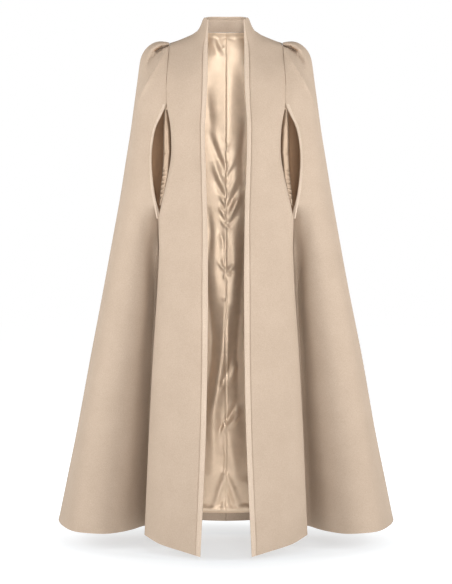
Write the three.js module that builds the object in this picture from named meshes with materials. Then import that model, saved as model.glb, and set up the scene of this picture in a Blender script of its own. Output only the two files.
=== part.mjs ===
// Floor-length open cape coat of heavy wool with a satin lining, in millimetres, +Z up.
// It stands hollow, as worn: -Y is the front, +X the wearer's left, and the origin lies on
// the centre plane at shoulder-point height, on the shoulder line.
import * as THREE from 'three';

// Cloth sizes
const WOOL = 2.4;             // melton wool wall
const COLLAR_WALL = 4.0;      // two layers of wool in the stand collar
const BAND_WALL = 3.6;        // folded wool of the front edge band
const LIP_WALL = 1.3;         // turned wool lip round the arm slit
const SATIN = 1.0;            // lining wall
const SEAM_GAP = 0.3;         // room between two sewn pieces
const LINING_EASE = 0.6;      // room between the wool and its lining
const BAND_RAISE = 0.7;       // how far the band stands proud of the front panel
const LIP_WIDTH = 10;         // visible width of the arm slit's lip
const HEM_TURN = 25;          // bare wool below the lining's hem
const SLIT_TOP_ROW = 5;       // row of the tables where the arm slit starts
const SLIT_END_ROW = 9;       // and the row where it ends

// Colours
const WOOL_FINISH = { color: 0xd3bfa6, roughness: 0.92, metalness: 0 };
const BAND_FINISH = { color: 0xdccab2, roughness: 0.9, metalness: 0 };
const SATIN_FINISH = { color: 0xc2a281, roughness: 0.38, metalness: 0 };

// Sections of the side panel, from the shoulder (first row) to the hem (last row).
// Each row runs round the body from the front seam to the back seam. In the head rows
// valley and rise, and pit and heel, are the bottom and the lip of the two pleats. From
// the slit's end down, wall, valley and rise form the deep fold beside the front panel.
const SIDE_COLUMNS = [
  'front', 'wall', 'valley', 'rise', 'bulge', 'corner', 'side', 'heel', 'pit', 'tail', 'back',
];
const SIDE_ROWS = [
  { front: [160, -18, -13], wall: [160.6, -16.5, -12.6], valley: [160.6, -15, -12],
    rise: [160.6, -13, -9], bulge: [160.6, -8, -5], corner: [160.6, -1, -2],
    side: [160.6, 6, -2], heel: [160.6, 13, -5.5], pit: [160.6, 16, -8.5],
    tail: [160.6, 19, -11.5], back: [160, 23, -13] },
  { front: [161.5, -27, -27], wall: [169, -30, -24], valley: [177, -23, -19],
    rise: [178.5, -31, -15.5], bulge: [184, -23, -5], corner: [189, -9, 2.5],
    side: [191, 5, 3.5], heel: [182, 28, -9], pit: [178, 23, -15],
    tail: [170, 33, -21], back: [161.5, 34, -27] },
  { front: [162.5, -42, -46], wall: [178, -46, -40], valley: [196, -33, -29.5],
    rise: [200, -40.5, -25.5], bulge: [206, -32, -18], corner: [213, -16, -11],
    side: [216, 4, -8], heel: [203, 37, -24], pit: [197, 34, -30],
    tail: [181, 49, -38], back: [162.5, 50, -47] },
  { front: [164, -68, -80], wall: [184, -73, -72], valley: [210, -54, -58],
    rise: [219, -49, -51], bulge: [229, -36, -45], corner: [236, -18, -40],
    side: [240, 4, -38], heel: [226, 42, -52], pit: [212, 56, -62],
    tail: [190, 70, -74], back: [164, 70, -82] },
  { front: [166, -89, -121], wall: [193, -95, -119], valley: [213, -90, -116],
    rise: [223, -82, -113], bulge: [235, -61, -108], corner: [245, -30, -103],
    side: [250, 6, -100], heel: [240, 54, -108], pit: [226, 74, -115],
    tail: [198, 88, -121], back: [166, 90, -122] },
  { front: [165.5, -108, -189], wall: [188, -114, -189], valley: [211, -111, -189],
    rise: [232, -99, -188], bulge: [248, -76, -186], corner: [258, -34, -184],
    side: [261, 14, -183], heel: [251, 60, -185], pit: [238, 86, -187],
    tail: [206, 103, -189], back: [170, 106, -189] },
  { front: [194, -122, -254], wall: [209, -121, -254], valley: [223, -115, -254],
    rise: [239, -104, -254], bulge: [255, -81, -254], corner: [267, -36, -254],
    side: [271, 20, -254], heel: [260, 68, -254], pit: [246, 94, -254],
    tail: [213, 111, -254], back: [174, 114, -254] },
  { front: [206, -128, -337], wall: [218, -127, -337], valley: [231, -121, -337],
    rise: [248, -109, -337], bulge: [266, -84, -337], corner: [280, -36, -337],
    side: [285, 28, -337], heel: [273, 79, -337], pit: [258, 105, -337],
    tail: [222, 122, -337], back: [180, 122, -337] },
  { front: [198, -126, -437], wall: [214, -124, -437], valley: [230, -119, -437],
    rise: [250, -108, -437], bulge: [273, -85, -437], corner: [293, -36, -437],
    side: [302, 36, -437], heel: [289, 91, -437], pit: [272, 118, -437],
    tail: [234, 134, -437], back: [188, 132, -437] },
  { front: [187, -118, -507], wall: [198, -106, -507], valley: [216, -100, -507],
    rise: [242, -101, -507], bulge: [272, -89, -507], corner: [302, -44, -507],
    side: [315, 42, -507], heel: [303, 101, -507], pit: [285, 129, -507],
    tail: [244, 145, -507], back: [194, 142, -507] },
  { front: [192, -94, -700], wall: [190, -58, -700], valley: [203, -28, -700],
    rise: [224, -66, -700], bulge: [268, -88, -700], corner: [328, -62, -700],
    side: [352, 62, -700], heel: [341, 125, -700], pit: [318, 159, -700],
    tail: [269, 175, -700], back: [211, 166, -700] },
  { front: [205, -90, -900], wall: [198, -24, -900], valley: [212, 14, -900],
    rise: [237, -42, -900], bulge: [287, -80, -900], corner: [359, -60, -900],
    side: [393, 86, -900], heel: [380, 153, -900], pit: [352, 189, -900],
    tail: [294, 205, -900], back: [228, 190, -900] },
  { front: [215.5, -90, -1100], wall: [205, 0, -1100], valley: [222, 42, -1100],
    rise: [250, -26, -1100], bulge: [312, -74, -1100], corner: [391, -56, -1100],
    side: [431, 110, -1100], heel: [417, 185, -1100], pit: [386, 225, -1100],
    tail: [321, 239, -1100], back: [246, 214, -1100] },
  { front: [228, -92, -1386], wall: [211, 20, -1387], valley: [233, 92, -1388],
    rise: [266, 20, -1389], bulge: [336, -61, -1390], corner: [428, -48, -1385],
    side: [491, 150, -1376], heel: [476, 233, -1381], pit: [436, 279, -1388],
    tail: [360, 293, -1393], back: [272, 250, -1394] },
];
const SIDE_U_STEPS = [1, 1, 2, 2, 2, 2, 2, 2, 1, 2, 2];  // lip column included
const SIDE_V_STEPS = [2, 2, 2, 1, 1, 2, 2, 2, 2, 2, 1, 1, 2];

// Sections of the front panel. Its first row is the collar top, the collar's side seam and
// the shoulder seam, and the others lie level with the side panel's rows. The seam
// column is the side panel's front seam, but for the free edge along the arm slit.
const FRONT_COLUMNS = ['edge', 'inner', 'chest', 'neck', 'mid', 'fold', 'seam'];
const FRONT_ROWS = [
  { edge: [54, -30, 60], inner: [60, -12, 65], chest: [64, 12, 70], neck: [80, 14, 35],
    mid: [112, 12, 16.5], fold: [140, 8, 4.5], seam: [159.5, 3, -2] },
  { edge: [53.8, -38, 38], inner: [63, -22, 38], chest: [71, -7, 35], neck: [87, -6, 19],
    mid: [114, -6, 8], fold: [140, -10, -3.5], seam: [160, -18, -13] },
  { edge: [53.2, -46, 14], inner: [64, -36, 10], chest: [77, -28, 4], neck: [95, -26, -4],
    mid: [117, -24, -11], fold: [141, -24, -19], seam: [161.5, -27, -27] },
  { edge: [52.6, -55, -14], inner: [66, -50, -18], chest: [82, -46, -24],
    neck: [100, -43, -31], mid: [120, -41, -36], fold: [142, -41, -41],
    seam: [162.5, -42, -46] },
  { edge: [51.6, -76, -62], inner: [68, -76, -66], chest: [86, -75, -70],
    neck: [104, -73, -74], mid: [123, -71, -76], fold: [144, -69, -78],
    seam: [164, -68, -80] },
  { edge: [51.5, -94, -112], inner: [69, -98, -114], chest: [88, -100, -116],
    neck: [106, -100, -118], mid: [125, -98, -119], fold: [146, -94, -120],
    seam: [166, -89, -121] },
  { edge: [54.5, -112, -186], inner: [71, -119, -187], chest: [89, -123, -188],
    neck: [108, -124, -189], mid: [127, -121, -189], fold: [147, -115, -189],
    seam: [164.6, -108, -189] },
  { edge: [58, -122, -254], inner: [72, -130, -254], chest: [88, -135, -254],
    neck: [105, -136, -254], mid: [122, -133, -254], fold: [139, -128, -254],
    seam: [154.5, -122, -254] },
  { edge: [57, -131, -337], inner: [72, -139, -337], chest: [88, -143, -337],
    neck: [105, -143, -337], mid: [122, -139, -337], fold: [138, -132, -337],
    seam: [153, -125, -337] },
  { edge: [53.5, -143, -437], inner: [71, -151, -437], chest: [90, -154, -437],
    neck: [110, -152, -437], mid: [131, -146, -437], fold: [152, -136, -437],
    seam: [172.5, -124, -437] },
  { edge: [51.5, -151, -507], inner: [71, -159, -507], chest: [92, -160, -507],
    neck: [114, -156, -507], mid: [137, -148, -507], fold: [162, -135, -507],
    seam: [187, -118, -507] },
  { edge: [49.5, -174, -706], inner: [72, -178, -704], chest: [97, -175, -703],
    neck: [124, -167, -702], mid: [153, -152, -701], fold: [184, -126, -700],
    seam: [192, -94, -700] },
  { edge: [51, -198, -914], inner: [76, -198, -911], chest: [104, -190, -908],
    neck: [134, -176, -905], mid: [165, -155, -902], fold: [197, -124, -900],
    seam: [205, -90, -900] },
  { edge: [56, -222, -1123], inner: [82, -218, -1119], chest: [110, -205, -1114],
    neck: [140, -186, -1109], mid: [173, -160, -1104], fold: [207, -123, -1100],
    seam: [215.5, -90, -1100] },
  { edge: [70.6, -260, -1423], inner: [96, -246, -1418], chest: [124, -226, -1412],
    neck: [154, -201, -1407], mid: [187, -168, -1400], fold: [219, -124, -1388],
    seam: [228, -92, -1386] },
];
const FRONT_U_STEPS = [1, 2, 2, 2, 1, 2];
const TOP_V_STEPS = 2;        // steps between the shoulder seam and the next row
const BAND_WIDTHS = [0.9, 2, 7, 11, 13.5, 14, 13.4, 13.6, 13.2, 13.6, 13.8, 15.5, 14.5, 14, 13];

// Sections of the back panel, level with the front panel's rows. Its first row is the
// shoulder seam and the back neck seam, and its last column is the centre back seam.
const BACK_COLUMNS = ['seam', 'mid', 'neck', 'blade', 'spine', 'centre'];
const BACK_ROWS = [
  { seam: [159.5, 4, -2], mid: [112, 13, 16.5], neck: [80, 15, 35],
    blade: [58, 46, 36], spine: [30, 68, 37.5], centre: [0, 74, 37.5] },
  { seam: [160, 23, -13], mid: [118, 31, 5], neck: [92, 38, 15], blade: [66, 58, 14],
    spine: [34, 76, 17], centre: [0, 81, 18] },
  { seam: [161.5, 34, -27], mid: [125, 45, -13], neck: [99, 52, -8], blade: [70, 68, -10],
    spine: [36, 84, -8], centre: [0, 88, -6] },
  { seam: [162.5, 50, -47], mid: [130, 61, -41], neck: [104, 69, -38],
    blade: [74, 81, -38], spine: [38, 92, -36], centre: [0, 95, -35] },
  { seam: [164, 70, -82], mid: [134, 80, -80], neck: [108, 88, -79], blade: [78, 96, -79],
    spine: [40, 102, -79], centre: [0, 103, -80] },
  { seam: [166, 90, -122], mid: [138, 96, -122], neck: [112, 101, -122],
    blade: [82, 106, -122], spine: [42, 109, -122], centre: [0, 109, -122] },
  { seam: [170, 106, -189], mid: [142, 110, -189], neck: [115, 113, -189],
    blade: [84, 115, -189], spine: [43, 115, -189], centre: [0, 114, -189] },
  { seam: [174, 114, -254], mid: [145, 118, -254], neck: [118, 121, -254],
    blade: [86, 121, -254], spine: [44, 119, -254], centre: [0, 117, -254] },
  { seam: [180, 122, -337], mid: [150, 127, -337], neck: [121, 130, -337],
    blade: [88, 129, -337], spine: [45, 125, -337], centre: [0, 122, -337] },
  { seam: [188, 132, -437], mid: [156, 139, -437], neck: [125, 142, -437],
    blade: [91, 140, -437], spine: [46, 134, -437], centre: [0, 130, -437] },
  { seam: [194, 142, -507], mid: [161, 149, -507], neck: [129, 152, -507],
    blade: [93, 149, -507], spine: [47, 141, -507], centre: [0, 136, -507] },
  { seam: [211, 166, -700], mid: [174, 177, -700], neck: [138, 181, -700],
    blade: [98, 175, -700], spine: [49, 162, -700], centre: [0, 156, -700] },
  { seam: [228, 190, -900], mid: [188, 206, -900], neck: [148, 210, -900],
    blade: [104, 202, -900], spine: [51, 185, -900], centre: [0, 177, -900] },
  { seam: [246, 214, -1100], mid: [202, 235, -1100], neck: [157, 241, -1100],
    blade: [109, 230, -1100], spine: [53, 208, -1100], centre: [0, 199, -1100] },
  { seam: [272, 250, -1394], mid: [222, 278, -1394], neck: [170, 290, -1394],
    blade: [116, 274, -1394], spine: [56, 244, -1394], centre: [0, 235, -1394] },
];
const BACK_U_STEPS = [2, 2, 2, 2, 2];

// Top edge of the back stand collar, from its side seam to the centre back
const COLLAR_TOP = { side: [64, 12, 70], turn: [50, 46, 79], nape: [26, 64, 82],
  centre: [0, 69, 82.5] };

// Offsets of the satin roll from the front panel's slit edge, at full swell
const ROLL_PROFILE = [
  { out: 6, back: 6 }, { out: 16, back: 8 }, { out: 23, back: 14 }, { out: 22, back: 22 },
  { out: 12, back: 26 },
];
const ROLL_SWELLS = [0.25, 0.62, 0.9, 1, 0.8, 0.5, 0.2];

const vec = (p) => new THREE.Vector3(...p);
const vecs = (row, columns) => columns.map((name) => vec(row[name]));
const curve = (points) => new THREE.CatmullRomCurve3(points, false, 'centripetal');

// Points of a curve with the given number of steps in each of its spans
function sample(points, steps) {
  const along = curve(points);
  const spans = points.length - 1;
  const out = [points[0].clone()];
  steps.forEach((count, span) => {
    for (let k = 1; k <= count; k += 1) {
      out.push(along.getPoint((span + k / count) / spans));
    }
  });
  return out;
}

// Grid of points, grid[level][place], through rows of section points
function surface(rows, uSteps, vSteps) {
  const rings = rows.map((points) => sample(points, uSteps));
  const lines = rings[0].map((_, j) => sample(rings.map((ring) => ring[j]), vSteps));
  return lines[0].map((_, i) => lines.map((line) => line[i]));
}

// Outward unit normals of a grid
function normalsOf(grid) {
  const last = { i: grid.length - 1, j: grid[0].length - 1 };
  return grid.map((row, i) => row.map((_, j) => {
    const down = grid[Math.min(i + 1, last.i)][j].clone()
      .sub(grid[Math.max(i - 1, 0)][j]);
    const across = grid[i][Math.min(j + 1, last.j)].clone()
      .sub(grid[i][Math.max(j - 1, 0)]);
    return down.cross(across).normalize();
  }));
}

// A point at a set distance from one point towards another
function toward(from, to, distance) {
  const step = to.clone().sub(from);
  return from.clone().addScaledVector(step.normalize(), distance);
}

// Draws back one edge column of a panel by half a seam gap
function trim(panel, edge, next, by = SEAM_GAP / 2) {
  panel.points.forEach((row) => {
    row[edge] = toward(row[edge], row[next], by);
  });
}

// Averages the normals of two panels along their common seam
function matchNormals(a, columnA, b, columnB, startA = 0, rows = b.points.length) {
  for (let i = 0; i < rows; i += 1) {
    const na = a.normals[i + startA][columnA];
    const nb = b.normals[i][columnB];
    const mean = na.clone().add(nb).normalize();
    na.copy(mean);
    nb.copy(mean);
  }
}

// Closed wall over a grid, from `inner` to `outer` along its normals
function wall({ points, normals }, outer, inner) {
  const rows = points.length;
  const columns = points[0].length;
  const positions = [];
  for (const offset of [outer, inner]) {
    for (let i = 0; i < rows; i += 1) {
      for (let j = 0; j < columns; j += 1) {
        const p = points[i][j].clone().addScaledVector(normals[i][j], offset);
        positions.push(p.x, p.y, p.z);
      }
    }
  }
  const out = (i, j) => i * columns + j;
  const inn = (i, j) => rows * columns + i * columns + j;
  const index = [];
  const quad = (a, b, c, d) => index.push(a, b, c, a, c, d);
  for (let i = 0; i < rows - 1; i += 1) {
    for (let j = 0; j < columns - 1; j += 1) {
      quad(out(i, j), out(i + 1, j), out(i + 1, j + 1), out(i, j + 1));
      quad(inn(i, j), inn(i, j + 1), inn(i + 1, j + 1), inn(i + 1, j));
    }
  }
  for (let j = 0; j < columns - 1; j += 1) {
    quad(out(0, j), out(0, j + 1), inn(0, j + 1), inn(0, j));
    quad(out(rows - 1, j + 1), out(rows - 1, j), inn(rows - 1, j), inn(rows - 1, j + 1));
  }
  for (let i = 0; i < rows - 1; i += 1) {
    quad(out(i + 1, 0), out(i, 0), inn(i, 0), inn(i + 1, 0));
    quad(out(i, columns - 1), out(i + 1, columns - 1), inn(i + 1, columns - 1),
      inn(i, columns - 1));
  }
  const geometry = new THREE.BufferGeometry();
  geometry.setAttribute('position', new THREE.Float32BufferAttribute(positions, 3));
  geometry.setIndex(index);
  geometry.computeVertexNormals();
  return geometry;
}

// The same geometry on the other side of the centre plane
function mirrored(geometry) {
  const copy = geometry.clone().scale(-1, 1, 1);
  const index = copy.getIndex();
  for (let k = 0; k < index.count; k += 3) {
    const second = index.getX(k + 1);
    index.setX(k + 1, index.getX(k + 2));
    index.setX(k + 2, second);
  }
  copy.computeVertexNormals();
  return copy;
}

// Some columns and rows of a panel, as a panel of its own
function part(panel, firstRow, lastRow, firstColumn, lastColumn) {
  const cut = (grid) => grid.slice(firstRow, lastRow + 1)
    .map((row) => row.slice(firstColumn, lastColumn + 1).map((p) => p.clone()));
  return { points: cut(panel.points), normals: cut(panel.normals) };
}

// Ends a panel a little above its hem, on the straight lines of its last span
function shorten(panel, by) {
  const { points, normals } = panel;
  const last = points.length - 1;
  points[last].forEach((p, j) => {
    const share = by / p.distanceTo(points[last - 1][j]);
    p.lerp(points[last - 1][j], share);
    normals[last][j].lerp(normals[last - 1][j], share);
  });
  return panel;
}

// Turns the cut edges on both sides of a shoulder or collar seam into the same plane
function squareSeam(panel, firstColumn, lastColumn) {
  for (let j = firstColumn; j <= lastColumn; j += 1) {
    panel.normals[0][j].setY(0).normalize();
  }
}

// Levels of the grid at each row of the side table
function gridRow(tableRow) {
  return SIDE_V_STEPS.slice(0, tableRow).reduce((sum, steps) => sum + steps, 0);
}

function sidePanel() {
  const rows = SIDE_ROWS.map((row) => {
    const points = vecs(row, SIDE_COLUMNS);
    const reach = points[1].distanceTo(points[0]);
    points.splice(1, 0, toward(points[0], points[1], Math.min(LIP_WIDTH, reach / 2)));
    return points;
  });
  return surface(rows, SIDE_U_STEPS, SIDE_V_STEPS);
}

function frontPanel(sideGrid) {
  const rows = FRONT_ROWS.map((row, i) => {
    const points = vecs(row, FRONT_COLUMNS);
    points.splice(1, 1, toward(points[0], points[1], BAND_WIDTHS[i]));
    return points;
  });
  const grid = surface(rows, FRONT_U_STEPS, [TOP_V_STEPS, ...SIDE_V_STEPS]);
  const seam = grid[0].length - 1;
  sideGrid.forEach((row, i) => {
    if (i <= gridRow(SLIT_TOP_ROW) || i >= gridRow(SLIT_END_ROW)) {
      grid[i + TOP_V_STEPS][seam].copy(row[0]);
    }
  });
  return grid;
}

function backPanel(sideGrid, frontGrid) {
  const rows = BACK_ROWS.map((row) => vecs(row, BACK_COLUMNS));
  const grid = surface(rows, BACK_U_STEPS, [TOP_V_STEPS, ...SIDE_V_STEPS]);
  sideGrid.forEach((row, i) => grid[i + TOP_V_STEPS][0].copy(row[row.length - 1]));
  const shoulder = frontGrid[0].slice(1 + FRONT_U_STEPS[1] + FRONT_U_STEPS[2]).reverse();
  curve(shoulder).getPoints(BACK_U_STEPS[0] + BACK_U_STEPS[1]).forEach((p, j) => {
    grid[0][j].copy(p).setY(p.y + 3 * SEAM_GAP);
  });
  return grid;
}

// Stand collar at the back, from its side seam to the centre back and on to the other side
function backCollar(frontGrid, backGrid) {
  const neckline = backGrid[0].slice(BACK_U_STEPS[0] + BACK_U_STEPS[1]);
  const sideSeam = frontGrid[0].slice(1 + FRONT_U_STEPS[1], 2 + FRONT_U_STEPS[1] + FRONT_U_STEPS[2]);
  const top = sample(vecs(COLLAR_TOP, ['side', 'turn', 'nape', 'centre']), BACK_U_STEPS.slice(2));
  const half = top.map((p, j) => {
    const foot = neckline[j].clone().addScaledVector(new THREE.Vector3(0, 0, 1), 2 * SEAM_GAP);
    const middle = p.clone().lerp(foot, 0.5);
    return [p, middle, foot];
  });
  half[0] = sideSeam.map((p) => p.clone().add(new THREE.Vector3(-0.2, 0.6, 0)));
  const flip = (p) => new THREE.Vector3(-p.x, p.y, p.z);
  const ring = [...half, ...half.slice(0, -1).reverse().map((line) => line.map(flip))];
  const points = [0, 1, 2].map((i) => ring.map((line) => line[i]));
  const normals = normalsOf(points);
  normals.forEach((row) => [row[0], row[row.length - 1]].forEach((n) => n.setY(0).normalize()));
  return { points, normals };
}

// Satin lining that rolls out past the front panel's free edge, behind the arm slit
function slitRoll(front) {
  const first = gridRow(SLIT_TOP_ROW) + TOP_V_STEPS;
  const last = front.points[0].length - 1;
  const keys = ROLL_SWELLS.map((swell) => new THREE.Vector3(swell, 0, 0));
  const count = gridRow(SLIT_END_ROW) - gridRow(SLIT_TOP_ROW) - 1;
  const swells = curve(keys).getPoints(count);
  const points = swells.map((swell, i) => {
    const row = front.points[first + i];
    const normal = front.normals[first + i];
    const root = [last - 2, last].map((j) => row[j].clone()
      .addScaledVector(normal[j], -WOOL - SEAM_GAP));
    root[1] = toward(root[1], root[0], 3);
    const roll = ROLL_PROFILE.map(({ out, back }) => row[last].clone()
      .add(new THREE.Vector3(out * swell.x, WOOL + back * Math.max(swell.x, 0.35), 0)));
    return [...root, ...roll];
  });
  return { points, normals: normalsOf(points) };
}

function build() {
  const sideGrid = sidePanel();
  const frontGrid = frontPanel(sideGrid);
  const backGrid = backPanel(sideGrid, frontGrid);
  const side = { points: sideGrid, normals: normalsOf(sideGrid) };
  const front = { points: frontGrid, normals: normalsOf(frontGrid) };
  const back = { points: backGrid, normals: normalsOf(backGrid) };
  const lastFront = frontGrid[0].length - 1;
  const lastSide = sideGrid[0].length - 1;
  const lastBack = backGrid[0].length - 1;
  matchNormals(front, lastFront, side, 0, TOP_V_STEPS, gridRow(SLIT_TOP_ROW) + 1);
  const below = gridRow(SLIT_END_ROW);
  for (let i = below; i < sideGrid.length; i += 1) {
    const mean = front.normals[i + TOP_V_STEPS][lastFront].clone()
      .add(side.normals[i][0]).normalize();
    front.normals[i + TOP_V_STEPS][lastFront].copy(mean);
    side.normals[i][0].copy(mean);
  }
  matchNormals(back, 0, side, lastSide, TOP_V_STEPS);
  back.normals.forEach((row) => row[lastBack].setX(0).normalize());
  side.normals[0].forEach((n, j, row) => {
    n.lerpVectors(row[0], row[lastSide], j / lastSide).normalize();
  });
  side.points.slice(0, 2).flat().forEach((p) => p.setX(p.x + 2 * SEAM_GAP));
  squareSeam(front, 1 + FRONT_U_STEPS[1], lastFront);
  squareSeam(back, 0, BACK_U_STEPS[0] + BACK_U_STEPS[1]);

  const collar = backCollar(frontGrid, backGrid);
  const band = part(front, 0, frontGrid.length - 1, 0, 1);
  const frontBody = part(front, 0, frontGrid.length - 1, 1, lastFront);
  trim(side, 0, 1, SEAM_GAP);
  trim(side, lastSide, lastSide - 1);
  trim(back, 0, 1);
  trim(back, lastBack, lastBack - 1);
  trim(frontBody, 0, 1, SEAM_GAP);
  trim(frontBody, lastFront - 1, lastFront - 2);
  trim(band, 1, 0, SEAM_GAP);

  const sideLining = shorten(part(side, 2, sideGrid.length - 1, 1, lastSide), HEM_TURN);
  const backLining = shorten(part(back, 0, backGrid.length - 1, 0, lastBack), HEM_TURN);
  const lip = part(side, gridRow(SLIT_TOP_ROW), gridRow(SLIT_END_ROW), 0, 1);
  const liningFace = -WOOL - LINING_EASE;

  const group = new THREE.Group();
  const add = (name, geometry, finish) => {
    const mesh = new THREE.Mesh(geometry, new THREE.MeshStandardMaterial(finish));
    mesh.name = name;
    group.add(mesh);
  };
  const addPair = (name, geometry, finish) => {
    add(`${name}_left`, geometry, finish);
    add(`${name}_right`, mirrored(geometry), finish);
  };
  addPair('front_panel', wall(frontBody, 0, -WOOL), WOOL_FINISH);
  addPair('front_band', wall(band, BAND_RAISE, BAND_RAISE - BAND_WALL), BAND_FINISH);
  addPair('side_panel', wall(side, 0, -WOOL), WOOL_FINISH);
  addPair('slit_lip', wall(lip, SEAM_GAP + LIP_WALL, SEAM_GAP), BAND_FINISH);
  addPair('slit_lining', wall(slitRoll(front), 0, -SATIN), SATIN_FINISH);
  addPair('back_panel', wall(back, 0, -WOOL), WOOL_FINISH);
  addPair('side_lining', wall(sideLining, liningFace, liningFace - SATIN), SATIN_FINISH);
  addPair('back_lining', wall(backLining, liningFace, liningFace - SATIN), SATIN_FINISH);
  add('back_collar', wall(collar, 0, -COLLAR_WALL), WOOL_FINISH);
  return group;
}

export default build();
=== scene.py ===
import math
from collections import Counter, namedtuple

import bmesh
import bpy
import numpy as np
from bpy.props import FloatProperty, FloatVectorProperty, PointerProperty
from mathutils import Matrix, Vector


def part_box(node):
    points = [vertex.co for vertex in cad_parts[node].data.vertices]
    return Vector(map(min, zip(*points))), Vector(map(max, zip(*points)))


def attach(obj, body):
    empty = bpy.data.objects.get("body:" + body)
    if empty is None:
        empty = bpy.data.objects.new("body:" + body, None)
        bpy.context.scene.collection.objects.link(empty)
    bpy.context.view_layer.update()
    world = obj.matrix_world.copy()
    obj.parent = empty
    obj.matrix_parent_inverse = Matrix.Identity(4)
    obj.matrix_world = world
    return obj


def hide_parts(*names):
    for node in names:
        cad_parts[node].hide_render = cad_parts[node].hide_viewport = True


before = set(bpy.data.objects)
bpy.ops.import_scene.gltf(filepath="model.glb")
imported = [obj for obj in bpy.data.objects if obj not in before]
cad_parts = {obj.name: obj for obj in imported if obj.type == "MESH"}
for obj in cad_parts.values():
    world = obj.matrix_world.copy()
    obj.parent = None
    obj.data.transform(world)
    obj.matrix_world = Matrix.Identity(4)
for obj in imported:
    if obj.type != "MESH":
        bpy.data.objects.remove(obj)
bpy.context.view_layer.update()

bl_info = {
    "name": "Wool cape coat",
    "version": (1, 0, 0),
    "blender": (4, 5, 0),
    "location": "3D View > Sidebar > Cape coat",
    "description": "Dresses the cape coat's solids with wool, pleats, creases and satin",
    "category": "Object",
}

HEM_Z = min(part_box(node)[0].z for node in ("front_band_left", "front_band_right"))

# Wall thickness of the solids by kind of cloth, in metres
WOOL_WALL = 0.0024
COLLAR_WALL = 0.0040
BAND_WALL = 0.0036
LIP_WALL = 0.0013
SATIN_WALL = 0.0010

# Millimetres in a metre
MILLIMETRES = 1000

# Two corners this close are one, and two lengths this close are the same, in metres
SAME_PLACE = 2e-6
SAME_LENGTH = 6e-6

# The photograph's viewpoint, in metres, and its lens for a frame 584 high
CAMERA_PLACE = (0.0, -4.71, -0.711)
FOCAL_PIXELS = 1656.0
FRAME_HEIGHT = 584
SENSOR = 36.0

SIDES = {"left": 1.0, "right": -1.0}

# Spacing of the points at which a solid's surface is evened out
SMOOTHING_STEP = 0.012

# Edges of the mesh that turn by more degrees than this stay sharp
SHARP_ANGLE = 50

# Rows and columns close to a piece's edges: distances from the edge, in metres
EDGE_STEPS = (0.0, 0.0008, 0.0017, 0.0030, 0.0050)
NARROW_EDGE_STEPS = (0.0, 0.0008, 0.002)
ROLL_EDGE_STEPS = (0.0, 0.0012)

# Length of a side panel, from its head down, that has finer rows for the pleats. The first
# share of it has the finest steps, and the rest has fine ones, both as shares of the mesh step
PUFF_LENGTH = 0.24
FINEST_SHARE = 0.4
FINEST_STEP = 0.22
FINE_STEP = 0.45

# Distance over which a panel's folds and its unevenness fade towards its sewn edges
FOLD_FADE = 0.005
WAVE_FADE = 0.04

# How sharply a fold's direction changes over where the cloth turns from front to back
TURN_SHARPNESS = 6

# A fold fades towards the ends of its path, but no further over this share of it at each end.
# To its sides it's gone at this many half widths
FOLD_END = 0.04
FOLD_REACH = 3

# Slow waves of the hanging wool: the seed of the left side, and the wave lengths in metres.
# They run less up and down than round the coat, by these shares
Waves = namedtuple("Waves", "seed lengths")
FRONT_WAVES = Waves(11, (0.31, 0.47, 0.83))
SIDE_WAVES = Waves(21, (0.29, 0.41, 0.77))
BACK_WAVES = Waves(31, (0.33, 0.49, 0.91))
WAVE_SHARES = (1.0, 1.0, 0.6)

# Fineness of the wool's fibres, as a noise scale
FIBRES = 900.0

# A straight line in the cloth: its distance from an edge, half width and height, in metres
Line = namedtuple("Line", "place width height")

# Sizes that change down the coat are rows of (depth below the shoulders, size), in metres

# The ridge along a front panel's outer edge, which stands forward over the side panel
RIDGE_HEIGHTS = ((0.15, 0.0), (0.35, 0.0045), (1.42, 0.0065))
RIDGE_PLACE = 0.010
RIDGE_WIDTH = 0.012
RIDGE_START = 0.006

# Depth of the seam beside a band, as a share of the other seams' depth
BAND_SEAM_SHARE = 2.6

# The hollow in the side cloth that the front panel's edge hides: how far back it goes, and
# how wide it is
HIDDEN_DEPTHS = ((0.47, 0.0), (0.50, 0.024), (0.56, 0.042), (0.66, 0.044), (0.85, 0.030),
                 (1.42, 0.012))
HIDDEN_WIDTHS = ((0.50, 0.014), (1.42, 0.020))
# The same for the cloth that shows beside that edge, and the edge's distance from x = 0
VISIBLE_DEPTHS = ((0.47, 0.0), (0.51, 0.020), (0.56, 0.030), (0.66, 0.030), (0.76, 0.014),
                  (0.88, 0.0))
VISIBLE_WIDTH = 0.022
FRONT_EDGE_PLACES = ((0.505, 0.186), (0.733, 0.199), (0.858, 0.202))
VISIBLE_REACH = 0.20
REACH_FADE = 0.05
SEWN_WIDTH = 0.004

# How far a back panel reaches over to the side panel, so that no light shows in the seam
BACK_REACHES = ((0.0, 0.0018), (0.04, 0.0009), (1.30, 0.0009), (1.38, 0.0022))

# The collar's rolled top edge, and the stitched line below it
COLLAR_ROLL = Line(0.0, 0.005, 0.0010)
COLLAR_STITCHING = Line(0.0078, 0.0020, -0.0031)
COLLAR_END_FADE = 0.008
COLLAR_STEP_SHARE = 0.2

# Seams of the narrow bands and lips, and the lip's edge that turns back into the slit
EDGE_STEP_SHARE = 0.7
EDGE_SEAM_DEPTH = 0.0009
EDGE_SEAM_WIDTH = 0.0014
LIP_TURN = 0.004
LIP_TURN_WIDTH = 0.0022

# The back lining: distances over which it comes down to its edges, its least height above its
# solid and how softly it turns there, its seam, and the roll at its hem
LINING_TOP_FADE = 0.012
LINING_HEM_FADE = 0.009
LINING_SIDE_FADE = 0.03
LINING_FLOOR = 0.0008
LINING_FLOOR_SOFTNESS = 0.0010
LINING_SEAM = 0.0014
HEM_ROLL = Line(0.014, 0.008, 0.005)

# The side lining's distance from its solid at its edges, and how much more it is further in
SIDE_LINING_EDGE = 0.0014
SIDE_LINING_SLACK = 0.0034
SIDE_LINING_FADES = (0.01, 0.0, 0.012, 0.012)

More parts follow.
